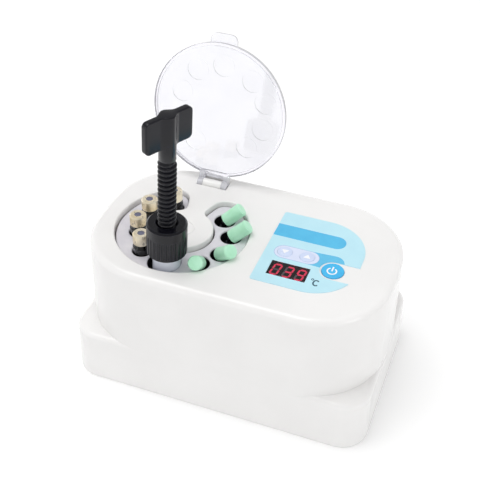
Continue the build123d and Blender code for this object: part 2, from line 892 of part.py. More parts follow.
def make_syringe_collar():
    """Ribbed collar that holds the barrel and carries the thread."""
    radius = collar_diameter / 2
    neck = thread_diameter / 2 + thread_clearance
    collar = spin(
        [
            (barrel_diameter / 2 + 0.1, collar_bottom),
            (radius - 0.5, collar_bottom),
            (radius, collar_bottom + 0.5),
            (radius, collar_top - collar_edge),
            (radius - collar_edge, collar_top),
            (collar_mouth_diameter / 2, collar_top),
            (neck, collar_top - collar_mouth_depth),
            (neck, flange_top + 0.05),
            (barrel_flange_diameter / 2 + 0.1, flange_top + 0.05),
            (barrel_flange_diameter / 2 + 0.1, flange_bottom - 0.05),
            (barrel_diameter / 2 + 0.1, flange_bottom - 0.05),
        ]
    )
    groove = extrude(Circle(0.35 + collar_rib_depth), collar_rib_height + 1)
    groove = Pos(radius + 0.35, 0, collar_bottom - 1) * groove
    grooves = [Rot(0, 0, i * 360 / collar_ribs) * groove for i in range(collar_ribs)]
    return collar - grooves


def make_syringe_screw():
    """Screw with a smooth neck and a flat handle that is round at its middle."""
    core = thread_diameter / 2
    lower = piston_top - piston_tip_length
    shaft = spin(
        [
            (0, lower),
            (2.0, lower),
            (2.6, lower + 0.8),
            (1.9, lower + 1.8),
            (1.9, piston_top + 0.3),
            (core - 0.6, piston_top + 0.3),
            (core, piston_top + 0.9),
            (core, screw_start),
            (stem_diameter / 2, screw_start + 0.6),
            (stem_diameter / 2, handle_bottom + handle_height - 0.6),
            (stem_diameter / 2 - 0.6, handle_bottom + handle_height),
            (0, handle_bottom + handle_height),
        ]
    )
    half = handle_thickness / 2
    blank = extrude(RectangleRounded(handle_width, handle_height, handle_corner), half, both=True)
    wing = Pos(0, 0, handle_bottom + handle_height / 2) * Rot(90, 0, 0) * blank
    wing = fillet(wing.edges().filter_by(lambda e: abs(abs(e.center().Y) - half) < 0.01), handle_edge)
    outline = [*Circle(stem_diameter / 2 - 0.6).edges()]
    for side in (-1, 1):
        outline += (Pos(side * handle_swell / 2, 0) * Circle(half - 0.3)).edges()
    swell = Pos(0, 0, handle_bottom) * extrude(make_hull(outline), handle_height)
    swell = fillet(swell.edges().group_by(Axis.Z)[0] + swell.edges().group_by(Axis.Z)[-1], 0.6)
    return shaft + Rot(0, 0, handle_turn) * (wing + swell)


def make_syringe_piston():
    """Plunger in the barrel, with a socket for the screw's tip and two sealing rings."""
    radius = barrel_diameter / 2 - barrel_wall - piston_clearance
    socket = piston_top - piston_tip_length - 0.2
    return spin(
        [
            (0, piston_bottom),
            (radius - 2.0, piston_bottom),
            (radius, piston_bottom + 1.2),
            (radius, piston_bottom + 2.2),
            (radius - 0.6, piston_bottom + 2.7),
            (radius - 0.6, piston_bottom + 4.2),
            (radius, piston_bottom + 4.7),
            (radius, piston_top),
            (2.1, piston_top),
            (2.1, piston_top - 1.2),
            (2.9, socket + 1.0),
            (2.2, socket),
            (0, socket),
        ]
    )


def make_cartridge(index):
    """Glass, stopper, seal and crimped cap of one cartridge, standing in its well."""
    outer = cartridge_diameter / 2
    inner = outer - cartridge_wall
    neck = cartridge_neck_diameter / 2
    bore = neck - cartridge_wall
    lip = cap_diameter / 2 - cap_wall - fit_gap
    shoulder = cartridge_length - cap_height - 1.2
    top = cartridge_length - cap_wall
    glass = spin(
        [
            (inner, 0),
            (outer, 0),
            (outer, shoulder - 1.2),
            (neck, shoulder + 0.8),
            (neck, top - seal_thickness - cartridge_lip - 0.6),
            (lip, top - seal_thickness - cartridge_lip),
            (lip, top - seal_thickness),
            (bore, top - seal_thickness),
            (bore, shoulder),
            (inner, shoulder - 1.6),
        ]
    )
    seal = spin(
        [
            (0, top - seal_thickness + fit_gap),
            (lip, top - seal_thickness + fit_gap),
            (lip, top - 0.02),
            (cap_hole_diameter / 2 - 0.1, top - 0.02),
            (cap_hole_diameter / 2 - 0.3, cartridge_length - seal_drop),
            (0, cartridge_length - seal_drop),
        ]
    )
    cap = spin(
        [
            (cap_diameter / 2 - cap_wall, cartridge_length - cap_height),
            (cap_diameter / 2, cartridge_length - cap_height),
            (cap_diameter / 2, cartridge_length - cap_edge),
            (cap_diameter / 2 - cap_edge, cartridge_length),
            (cap_hole_diameter / 2, cartridge_length),
            (cap_hole_diameter / 2, top),
            (cap_diameter / 2 - cap_wall, top),
        ]
    )
    stopper = tube((0, 0), stopper_drop, 2 * (inner - fit_gap), stopper_length)
    place = Pos(*well_place(*cartridge_wells[index]), well_bottom + 0.02)
    return {"glass": place * glass, "seal": place * seal, "cap": place * cap, "stopper": place * stopper}


def make_compule(index):
    """Body that stands in its well with a bent nozzle, its plug, and the cap on the nozzle."""
    outer = compule_diameter / 2
    inner = outer - compule_wall
    neck = compule_nozzle_diameter / 2
    shoulder = compule_length - compule_cone_length
    body = spin(
        [
            (inner, 0),
            (outer, 0),
            (outer, shoulder),
            (neck + 0.5, compule_length),
            (0, compule_length),
            (0, compule_length - compule_wall),
            (inner, shoulder - compule_wall),
        ]
    )
    plug = tube((0, 0), compule_plug_drop, 2 * (inner - fit_gap), compule_plug_length)

    # Nozzle: up from the body, round the bend and on to its tip
    bend = Vector(0, 0, compule_length + compule_bend_rise)
    lean = radians(compule_tilt)
    along = Vector(sin(lean), 0, cos(lean))
    start = Vector(0, 0, compule_length - 0.5)
    reach = green_cap_start + compule_nozzle_reach
    path = FilletPolyline(start, bend, bend + along * reach * 0.5, radius=compule_bend_radius)
    nozzle = sweep(Plane(start, z_dir=(0, 0, 1)) * Circle(neck), path=path)
    tip = Plane(bend + along * (reach * 0.5 - 0.2), z_dir=along)
    nozzle += tip * Cone(
        neck, compule_nozzle_tip / 2, reach * 0.5 + 0.2, align=(Align.CENTER, Align.CENTER, Align.MIN)
    )

    # Cap with a blind bore
    length = green_cap_length
    radius = green_cap_diameter / 2
    bore = neck + fit_gap
    cap = spin(
        [
            (bore, 0),
            (radius - 0.2, 0),
            (radius, 0.2),
            (radius, length - green_cap_edge),
            (radius - green_cap_edge, length),
            (0, length),
            (0, green_cap_depth),
            (bore, green_cap_depth),
        ]
    )
    cap = Plane(bend + along * green_cap_start, z_dir=along) * cap
    well = well_place(*compule_wells[index])
    shift = compule_shifts[index]
    place = Pos(well[0] + shift[0], well[1] + shift[1], compule_floor + 0.02)
    place = place * Rot(0, 0, compule_headings[index])
    return {"barrel": place * (body + nozzle), "plug": place * plug, "cap": place * cap}


def main():
    parts = {
        "housing": make_housing(),
        "base_plate": make_base_plate(),
        "rubber_feet": make_feet(),
        "base_screws": make_base_screws(),
        "heating_block": make_heating_block(),
        "heater_pad": make_heater(),
        "temperature_sensor": make_sensor(),
        "thermal_fuse": make_fuse(),
        "support_posts": make_posts(),
        "post_screws": make_post_screws(),
        "insulation_band": make_jacket(),
        "control_board": make_board(),
        "board_screws": make_board_screws(),
        "push_switches": make_switches(),
        "display_module": make_display(),
        "display_window": make_lens(),
        "panel_label": make_label(),
        "power_key": make_key(power_key_place, power_key_diameter),
        "up_key": make_key(up_key_place, arrow_key_diameter),
        "down_key": make_key(down_key_place, arrow_key_diameter),
        "power_inlet": make_inlet(),
        "lid": make_lid(),
        "hinge_pin": make_hinge_pin(),
        "hinge_block": make_hinge_block(),
        "hinge_screws": make_hinge_screws(),
        "syringe_barrel": on_syringe(make_syringe_barrel()),
        "syringe_collar": on_syringe(make_syringe_collar()),
        "syringe_screw": on_syringe(make_syringe_screw()),
        "syringe_piston": on_syringe(make_syringe_piston()),
    }
    for index in range(len(cartridge_wells)):
        for name, solid in make_cartridge(index).items():
            parts[f"cartridge_{index + 1}_{name}"] = solid
    for index in range(len(compule_wells)):
        for name, solid in make_compule(index).items():
            parts[f"compule_{index + 1}_{name}"] = solid
    os.makedirs("parts", exist_ok=True)
    for name, solid in parts.items():
        export_step(solid, f"parts/{name}.step")
    print("hinge axis y, z", round(hinge_y, 3), round(hinge_z, 3), "x", round(recess_x, 3))
    print("syringe foot", [round(v, 3) for v in syringe_foot], "axis", [round(v, 5) for v in syringe_axis])


main()
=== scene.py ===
import json
from math import cos, hypot, pi, radians, sin, tan

import bmesh
import bpy
from mathutils import Matrix, Vector
from mathutils.geometry import delaunay_2d_cdt


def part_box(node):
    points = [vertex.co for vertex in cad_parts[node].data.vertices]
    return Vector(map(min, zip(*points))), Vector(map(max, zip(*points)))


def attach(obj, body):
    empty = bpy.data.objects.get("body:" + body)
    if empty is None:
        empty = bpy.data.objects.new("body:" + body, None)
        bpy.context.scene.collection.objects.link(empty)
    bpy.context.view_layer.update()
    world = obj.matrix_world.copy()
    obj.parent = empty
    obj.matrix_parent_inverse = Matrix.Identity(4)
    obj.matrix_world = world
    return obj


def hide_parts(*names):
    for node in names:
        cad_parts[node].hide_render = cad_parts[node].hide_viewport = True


MM = 0.001

# Sizes of the part that the printed and threaded pieces line up with, in millimetres and degrees
TOP = 80.5
FILM_TOP = 80.8
KEY_TOP = 81.15
BLOCK_TOP = 77.5
BORE_SHADE_DEPTH, BORE_MOUTH_DEPTH, BORE_SHINE_DEPTH = 1.1, 0.42, 0.4
LABEL_X, LABEL_Y = 37.5, -0.5
LABEL_LENGTH, LABEL_WIDTH = 50.0, 59.0
LABEL_LEFT_CORNER, LABEL_RIGHT_CORNER = 1.5, 24.0
NOTCH_WIDTH = 13.8
BAND_LOW, BAND_HIGH, BAND_END, BAND_CORNER = 7.8, 18.1, 50.9, 5.149
CAPSULE_LEFT, CAPSULE_RIGHT, CAPSULE_LOW, CAPSULE_HIGH = 17.4, 41.0, -8.9, 1.0
CAPSULE_CORNER, CAPSULE_LINE = 4.949, 0.3
DEGREE_RING, DEGREE_RADII = (42.5, -19.5), (0.78, 0.36)
UNIT_LETTER, UNIT_RADII, UNIT_STROKE = (44.8, -21.6), (1.4, 2.0), 0.8
POWER_KEY = (50.1, -9.65)
POWER_SIGN_SHIFT = 0.35
POWER_RING_RADIUS, POWER_RING_STROKE, POWER_RING_DROP = 2.35, 0.75, 0.3
POWER_BAR_HALF, POWER_BAR_TOP, POWER_BAR_CORNER = 0.4, 3.2, 0.2
UP_KEY = (34.9, -3.9)
DOWN_KEY = (22.9, -3.9)
ARROW_HOLE_DIAMETER = 8.12
ARROW_HALF, ARROW_FOOT, ARROW_TIP, ARROW_CORNER = 2.0, 1.3, 1.7, 0.25
SIGN_SUNK, SIGN_RAISED = 0.02, 0.03
DISPLAY = (29.1, -17.9)
DISPLAY_LENGTH, DISPLAY_WIDTH = 20.4, 11.0
DIGIT_WIDTH, DIGIT_HEIGHT, DIGIT_STEP, DIGIT_SLANT = 4.9, 9.3, 6.5, 0.12
FIRST_DIGIT = (-8.95, -4.6)
SEGMENT_BAR, SEGMENT_GAP = 1.35, 0.12
SEGMENT_SUNK, SEGMENT_RAISED = 0.02, 0.05
POINT_SHIFT, POINT_RADIUS = (0.72, 0.5), 0.48
SYRINGE_FOOT = (-34.148, -30.584, 27.85)
SYRINGE_LEAN = 2.4
SCREW_TIP = 53.9
SCREW_TIP_PROFILE = ((2.0, 0.0), (2.35, 0.35), (2.6, 0.8), (2.3, 1.25), (1.9, 1.8), (1.9, 3.2))
SCREW_CORE_START = 57.2
THREAD_DIAMETER = 9.4
THREAD_ROOT_DIAMETER = 7.0
THREAD_PITCH = 2.6
THREAD_STEPS_PER_TURN = 14
THREAD_RIDGE, THREAD_RUN_OUT, THREAD_LEAD_IN = 0.34, 1.6, 1.2
THREAD_END = 113.8
STEM_DIAMETER = 8.6
HANDLE_BOTTOM = 121.3
HANDLE_WIDTH, HANDLE_HEIGHT, HANDLE_THICKNESS = 28.0, 17.2, 3.7
HANDLE_CORNER, HANDLE_EDGE = 2.6, 0.8
HANDLE_SWELL = 5.9
HANDLE_STRIPS, HANDLE_CORNER_STEPS, HANDLE_EDGE_STEPS = 72, 8, 5
HANDLE_TURN = 64.0
LID_AXIS_Y, LID_AXIS_Z = 39.0, 80.1
LID_CENTRE = (-34.4, -4.7, 83.7)
LID_RADIUS = 38.2
LID_OPEN = 100.1
LID_RIM_START, LID_RIM_FULL, LID_RIM_FADE, LID_RIM_END = 2.0, 1.3, 0.1, 0.4
LID_EAR_REACH, LID_EDGE_REACH, LID_EDGE_RISE = 5.6, 2.2, 0.8
INLET_PIN_PROFILE = (
    (1.08, 9.5), (1.08, 1.9), (1.0, 1.62), (0.8, 1.5), (0.5, 1.5), (0.42, 1.6), (0.42, 4.0), (0.0, 4.0)
)
INLET_PIN_SETBACK = 1.2

# Stage, in metres and watts
LAMPS = (
    ("lamp_top", (-0.32, -0.06, 1.3), 0.8, 6.3),
    ("lamp_left", (-0.9, -1.0, 0.6), 0.5, 0.9),
    ("lamp_right", (1.2, -0.5, 0.4), 0.5, 1.9),
)
LAMP_AIM = (0, 0, 0.06)
FLOOR_REACH = 3.0
FLOOR_LIFT_NEAR, FLOOR_LIFT_FAR = 0.09, 0.7
SKY_LIGHT, SKY_SEEN_LOW, SKY_SEEN_HIGH = 0.7, 1.0, 0.45

# Camera, fitted to the photograph: angles in degrees, aim and lens in millimetres, distance in metres
CAMERA_TURN, CAMERA_RISE, CAMERA_ROLL = 19.695, 38.683, 1.193
CAMERA_AIM, CAMERA_DISTANCE = (-3.358, 0, 77.923), 0.479161
CAMERA_LENS = 67.92

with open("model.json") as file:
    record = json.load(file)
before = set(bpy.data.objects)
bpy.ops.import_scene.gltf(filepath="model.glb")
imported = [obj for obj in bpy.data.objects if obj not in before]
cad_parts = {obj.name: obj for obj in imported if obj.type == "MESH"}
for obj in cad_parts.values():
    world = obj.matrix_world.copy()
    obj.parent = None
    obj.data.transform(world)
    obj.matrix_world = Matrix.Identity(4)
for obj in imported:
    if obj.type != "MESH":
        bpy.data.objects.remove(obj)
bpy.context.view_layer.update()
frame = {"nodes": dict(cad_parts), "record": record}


def paint(red, green, blue):
    """Colour from 0 to 255 values, as the shader sockets take it."""
    def straight(value):
        value = value / 255
        return value / 12.92 if value <= 0.04045 else ((value + 0.055) / 1.055) ** 2.4

    return (straight(red), straight(green), straight(blue), 1.0)


def add(tree, kind, sockets=None, **settings):
    """Adds a shader node, with a value or another node's output for each of its named sockets."""
    item = tree.nodes.new(kind)
    for name, value in settings.items():
        setattr(item, name, value)
    for socket, value in (sockets or {}).items():
        if isinstance(value, bpy.types.NodeSocket):
            tree.links.new(value, item.inputs[socket])
        else:
            item.inputs[socket].default_value = value
    return item


def mixed(tree, factor, first, second):
    """Colour between two colours."""
    return add(tree, "ShaderNodeMix", {0: factor, 6: first, 7: second}, data_type="RGBA").outputs[2]


def between(tree, value, low, high, to_low=0.0, to_high=1.0, curve="SMOOTHSTEP"):
    """Value carried from one range to another, with soft ends unless the curve is LINEAR."""
    sockets = {"Value": value, "From Min": low, "From Max": high, "To Min": to_low, "To Max": to_high}
    return add(tree, "ShaderNodeMapRange", sockets, interpolation_type=curve).outputs[0]


def object_place(tree):
    """The surface's place in the shared frame."""
    return add(tree, "ShaderNodeTexCoord").outputs["Object"]


def noise(tree, place, scale, detail):
    """Cloudy value over the surface."""
    return add(tree, "ShaderNodeTexNoise", {"Vector": place, "Scale": scale, "Detail": detail}).outputs["Fac"]


def bumped(tree, height, depth, strength):
    """Normal that is raised by a height."""
    sockets = {"Height": height, "Distance": depth, "Strength": strength}
    return add(tree, "ShaderNodeBump", sockets).outputs[0]


def new_group(name, inputs, outputs):
    """Empty shader node group with named inputs and outputs."""
    kinds = {"colour": "NodeSocketColor", "value": "NodeSocketFloat", "normal": "NodeSocketVector"}
    group = bpy.data.node_groups.new(name, "ShaderNodeTree")
    for label, kind, value in inputs:
        socket = group.interface.new_socket(name=label, in_out="INPUT", socket_type=kinds[kind])
        socket.default_value = value
    for label, kind in outputs:
        group.interface.new_socket(name=label, in_out="OUTPUT", socket_type=kinds[kind])
    return group, group.nodes.new("NodeGroupInput"), group.nodes.new("NodeGroupOutput")


def make_moulded_surface():
    """Moulded plastic: slow mottling, roughness that drifts with it, and a fine skin texture."""
    group, given, out = new_group(
        "moulded_surface",
        [
            ("Colour", "colour", (0.8, 0.8, 0.8, 1)),
            ("Mottled Colour", "colour", (0.7, 0.7, 0.7, 1)),
            ("Mottle Scale", "value", 40.0),
            ("Skin Scale", "value", 2200.0),
            ("Skin Depth", "value", 0.00001),
            ("Roughness Low", "value", 0.25),
            ("Roughness High", "value", 0.4),
        ],
        [("Colour", "colour"), ("Roughness", "value"), ("Normal", "normal")],
    )
    place = object_place(group)
    take = given.outputs
    mottle = noise(group, place, take["Mottle Scale"], 4.0)
    skin = noise(group, place, take["Skin Scale"], 2.0)
    patch = between(group, mottle, 0.35, 0.7)
    rough = between(group, mottle, 0.3, 0.7, take["Roughness Low"], take["Roughness High"], "LINEAR")
    group.links.new(mixed(group, patch, take["Colour"], take["Mottled Colour"]), out.inputs["Colour"])
    group.links.new(rough, out.inputs["Roughness"])
    group.links.new(bumped(group, skin, take["Skin Depth"], 0.5), out.inputs["Normal"])
    return group


def make_edge_wear_and_highlight():
    """Mask that rises along edges, broken up a little, from how far a rounded edge would turn the surface; it
    places edge wear and painted edge highlights.
    """
    group, given, out = new_group(
        "edge_wear_and_highlight_mask", [("Width", "value", 0.0003), ("Reach", "value", 0.3)], [("Mask", "value")]
    )
    softened = add(group, "ShaderNodeBevel", {"Radius": given.outputs["Width"]}, samples=4)
    surface = add(group, "ShaderNodeNewGeometry")
    dot = add(
        group,
        "ShaderNodeVectorMath",
        {0: softened.outputs[0], 1: surface.outputs["Normal"]},
        operation="DOT_PRODUCT",
    )
    turned = add(group, "ShaderNodeMath", {0: 1.0, 1: dot.outputs["Value"]}, operation="SUBTRACT")
    broken = between(group, noise(group, object_place(group), 900.0, 3.0), 0.3, 0.6, 0.35, 1.0)
    edge = between(group, turned.outputs[0], 0.01, given.outputs["Reach"], curve="LINEAR")
    mask = add(group, "ShaderNodeMath", {0: edge, 1: broken}, operation="MULTIPLY", use_clamp=True)
    group.links.new(mask.outputs[0], out.inputs["Mask"])
    return group


def make_machined_metal():
    """Metal with fine tool lines along one direction and soft cloudy shading."""
    group, given, out = new_group(
        "machined_metal",
        [
            ("Colour", "colour", (0.7, 0.7, 0.7, 1)),
            ("Dark Colour", "colour", (0.5, 0.5, 0.5, 1)),
            ("Line Scale X", "value", 60.0),
            ("Line Scale Y", "value", 2500.0),
            ("Line Depth", "value", 0.000008),
            ("Roughness Low", "value", 0.25),
            ("Roughness High", "value", 0.42),
        ],
        [("Colour", "colour"), ("Roughness", "value"), ("Normal", "normal")],
    )
    place = object_place(group)
    take = given.outputs
    stretch = add(
        group, "ShaderNodeCombineXYZ", {"X": take["Line Scale X"], "Y": take["Line Scale Y"], "Z": 300.0}
    )
    pulled = add(group, "ShaderNodeVectorMath", {0: place, 1: stretch.outputs[0]}, operation="MULTIPLY")
    lines = noise(group, pulled.outputs[0], 1.0, 2.0)
    patch = between(group, noise(group, place, 90.0, 3.0), 0.3, 0.75)
    rough = between(group, lines, 0.3, 0.7, take["Roughness Low"], take["Roughness High"], "LINEAR")
    group.links.new(mixed(group, patch, take["Colour"], take["Dark Colour"]), out.inputs["Colour"])
    group.links.new(rough, out.inputs["Roughness"])
    group.links.new(bumped(group, lines, take["Line Depth"], 0.5), out.inputs["Normal"])
    return group


MOULDED = make_moulded_surface()
EDGE_WEAR_AND_HIGHLIGHT = make_edge_wear_and_highlight()
MACHINED = make_machined_metal()


def new_material(name, **sockets):
    """Material with its shader, and plain values on the shader's own sockets."""
    material = bpy.data.materials.new(name)
    material.use_nodes = True
    shader = material.node_tree.nodes["Principled BSDF"]
    for socket, value in sockets.items():
        shader.inputs[socket.replace("_", " ")].default_value = value
    return material, material.node_tree, shader


def fill_group(tree, group, values):
    """Group node with a value or another node's output for each of its inputs."""
    return add(tree, "ShaderNodeGroup", values, node_tree=group)


def take_surface(material, surface, wear_and_highlight, width, reach):
    """Links a surface group to the material's shader, with paler edges, partly wear and partly painted
    highlight, where an edge colour is given.
    """
    tree = material.node_tree
    shader = tree.nodes["Principled BSDF"]
    shade = surface.outputs["Colour"]
    if wear_and_highlight:
        # Paler edge colour: partly wear, partly a painted highlight along rounded edges.
        edge = fill_group(tree, EDGE_WEAR_AND_HIGHLIGHT, {"Width": width, "Reach": reach})
        shade = mixed(tree, edge.outputs["Mask"], shade, wear_and_highlight)
    tree.links.new(shade, shader.inputs["Base Color"])
    tree.links.new(surface.outputs["Roughness"], shader.inputs["Roughness"])
    tree.links.new(surface.outputs["Normal"], shader.inputs["Normal"])
    return material


def moulded(
    name, colour, second, rough=(0.25, 0.4), skin=2200.0, depth=0.00001, mottle=40.0, wear_and_highlight=None, **sockets
):
    """Moulded plastic or rubber, with paler edges, partly wear and partly painted highlight, where an edge
    colour is given.
    """
    material, tree, _ = new_material(name, **sockets)
    surface = fill_group(
        tree,
        MOULDED,
        {
            "Colour": colour,
            "Mottled Colour": second,
            "Mottle Scale": mottle,
            "Skin Scale": skin,
            "Skin Depth": depth,
            "Roughness Low": rough[0],
            "Roughness High": rough[1],
        },
    )
    return take_surface(material, surface, wear_and_highlight, 0.00025, 0.35)


def metal(
    name, colour, dark, rough=(0.25, 0.42), lines=(60.0, 2500.0), depth=0.000008, wear_and_highlight=None, metallic=1.0
):
    """Machined or drawn metal, with brighter edges, partly wear and partly painted highlight, where an edge
    colour is given.
    """
    material, tree, _ = new_material(name, Metallic=metallic)
    surface = fill_group(
        tree,
        MACHINED,
        {
            "Colour": colour,
            "Dark Colour": dark,
            "Line Scale X": lines[0],
            "Line Scale Y": lines[1],
            "Line Depth": depth,
            "Roughness Low": rough[0],
            "Roughness High": rough[1],
        },
    )
    return take_surface(material, surface, wear_and_highlight, 0.0002, 0.3)


def heated_block_metal():
    """Satin anodised top of the block, with painted shade that darkens the bores below their mouths."""
    shine = 0.2
    material = metal("heated_block", paint(235, 233, 238), paint(223, 221, 228), (0.3, 0.45), metallic=shine)
    tree = material.node_tree
    shader = tree.nodes["Principled BSDF"]
    top = shader.inputs["Base Color"].links[0].from_socket
    height = add(tree, "ShaderNodeSeparateXYZ", {0: object_place(tree)}).outputs["Z"]
    painted_shade_below = (BLOCK_TOP - BORE_SHADE_DEPTH) * MM
    painted_bore_shade = between(tree, height, painted_shade_below, (BLOCK_TOP - BORE_MOUTH_DEPTH) * MM)
    # Painted shade: the bores turn near black below their mouths, for the shade inside them.
    tree.links.new(mixed(tree, painted_bore_shade, paint(34, 33, 36), top), shader.inputs["Base Color"])
    shine = between(tree, height, painted_shade_below, (BLOCK_TOP - BORE_SHINE_DEPTH) * MM, 0.0, shine)
    tree.links.new(shine, shader.inputs["Metallic"])
    return material


def clear_lid_plastic():
    """Clear polished plastic, with a painted lilac tint along the rim for the look through its edge."""
    material, tree, shader = new_material(
        "clear_lid", Roughness=0.05, Transmission_Weight=1.0, IOR=1.49, Coat_Weight=0.15
    )
    shader.inputs["Coat Roughness"].default_value = 0.03
    turn = radians(-LID_OPEN)
    y = LID_CENTRE[1] - LID_AXIS_Y
    z = LID_CENTRE[2] - LID_AXIS_Z
    centre = (
        LID_CENTRE[0] * MM,
        (LID_AXIS_Y + y * cos(turn) - z * sin(turn)) * MM,
        (LID_AXIS_Z + y * sin(turn) + z * cos(turn)) * MM,
    )
    across = (0.0, -sin(turn), cos(turn))
    place = object_place(tree)
    arm = add(tree, "ShaderNodeVectorMath", {0: place, 1: centre}, operation="SUBTRACT").outputs[0]
    lift = add(tree, "ShaderNodeVectorMath", {0: arm, 1: across}, operation="DOT_PRODUCT").outputs["Value"]
    out = add(tree, "ShaderNodeVectorMath", {0: across, "Scale": lift}, operation="SCALE").outputs[0]
    flat = add(tree, "ShaderNodeVectorMath", {0: arm, 1: out}, operation="SUBTRACT").outputs[0]
    radius = add(tree, "ShaderNodeVectorMath", {0: flat}, operation="LENGTH").outputs["Value"]
    # Painted rim tint: a paler lilac band along the rim, standing in for the look through the plastic's edge.
    rim = between(tree, radius, (LID_RADIUS - LID_RIM_START) * MM, (LID_RADIUS - LID_RIM_FULL) * MM)
    past = between(tree, radius, (LID_RADIUS + LID_RIM_FADE) * MM, (LID_RADIUS + LID_RIM_END) * MM)
    rim = add(tree, "ShaderNodeMath", {0: rim, 1: past}, operation="SUBTRACT", use_clamp=True).outputs[0]
    cloud = between(tree, noise(tree, place, 60.0, 3.0), 0.3, 0.8)
    body = mixed(tree, cloud, paint(244, 244, 248), paint(241, 241, 246))
    tree.links.new(mixed(tree, rim, body, paint(247, 246, 252)), shader.inputs["Base Color"])
    tree.links.new(bumped(tree, noise(tree, place, 140.0, 1.0), 0.00002, 0.3), shader.inputs["Normal"])
    return material


def lid_edge_painted_light():
    """The lid's edges and ears, where the same plastic looks milky because light runs along it."""
    material, tree, shader = new_material("lid_edge", Roughness=0.22, Transmission_Weight=0.45, IOR=1.3)
    cloud = between(tree, noise(tree, object_place(tree), 90.0, 3.0), 0.3, 0.8)
    shade = mixed(tree, cloud, paint(251, 251, 255), paint(245, 245, 252))
    tree.links.new(shade, shader.inputs["Base Color"])
    return material


def glass(name, colour, second, rough=0.03):
    """Glass or smoked plastic, with faint cloudiness in its colour."""
    material, tree, shader = new_material(name, Roughness=rough, Transmission_Weight=1.0, IOR=1.5)
    cloud = between(tree, noise(tree, object_place(tree), 150.0, 3.0), 0.3, 0.75)
    tree.links.new(mixed(tree, cloud, colour, second), shader.inputs["Base Color"])
    return material


def lit_segment(name, colour, second, strength):
    """Glowing segment of the display, a little uneven, as the light spreads in its plastic; the unlit
    segments get a faint painted glow.
    """
    material, tree, shader = new_material(name, Roughness=0.4, Emission_Strength=strength)
    cloud = between(tree, noise(tree, object_place(tree), 1400.0, 2.0), 0.3, 0.7)
    shade = mixed(tree, cloud, colour, second)
    tree.links.new(shade, shader.inputs["Base Color"])
    tree.links.new(shade, shader.inputs["Emission Color"])
    return material


def felt_material():
    """Grey-white felt: tangled fibres, raised and uneven in colour."""
    material, tree, shader = new_material("felt", Sheen_Weight=0.3)
    place = object_place(tree)
    bend = add(tree, "ShaderNodeTexNoise", {"Vector": place, "Scale": 500.0, "Detail": 4.0})
    pushed = add(
        tree,
        "ShaderNodeVectorMath",
        {0: bend.outputs["Color"], 1: (0.002, 0.002, 0.002), 2: place},
        operation="MULTIPLY_ADD",
    )
    fibre = add(tree, "ShaderNodeTexVoronoi", {"Vector": pushed.outputs[0], "Scale": 1600.0})
    shade = between(tree, fibre.outputs["Distance"], 0.0, 0.8)
    colour = mixed(tree, shade, paint(226, 223, 214), paint(190, 186, 176))
    tree.links.new(colour, shader.inputs["Base Color"])
    tree.links.new(bumped(tree, fibre.outputs["Distance"], 0.0003, 0.8), shader.inputs["Normal"])
    tree.links.new(between(tree, shade, 0.0, 1.0, 0.85, 0.98), shader.inputs["Roughness"])
    return material


def board_material():
    """Green circuit board: woven glass under the lacquer, with rows of copper tracks."""
    material, tree, shader = new_material("circuit_board", Coat_Weight=0.4)
    place = object_place(tree)
    weave = add(
        tree,
        "ShaderNodeTexBrick",
        {
            "Vector": place,
            "Scale": 260.0,
            "Mortar Size": 0.08,
            "Color1": paint(24, 96, 56),
            "Color2": paint(30, 110, 64),
            "Mortar": paint(18, 78, 46),
        },
    )
    tracks = add(
        tree, "ShaderNodeTexWave", {"Vector": place, "Scale": 60.0, "Distortion": 6.0, "Detail": 1.0}
    )
    line = between(tree, tracks.outputs["Fac"], 0.86, 0.92)
    tree.links.new(mixed(tree, line, weave.outputs["Color"], paint(64, 150, 84)), shader.inputs["Base Color"])
    tree.links.new(between(tree, line, 0.0, 1.0, 0.4, 0.25), shader.inputs["Roughness"])
    tree.links.new(bumped(tree, line, 0.00005, 0.6), shader.inputs["Normal"])
    return material


def printed(name, colour, second):
    """Ink on the label film: even, with a fine grain of the film's satin top."""
    return moulded(name, colour, second, rough=(0.3, 0.42), skin=3500.0, depth=0.000006, mottle=120.0)


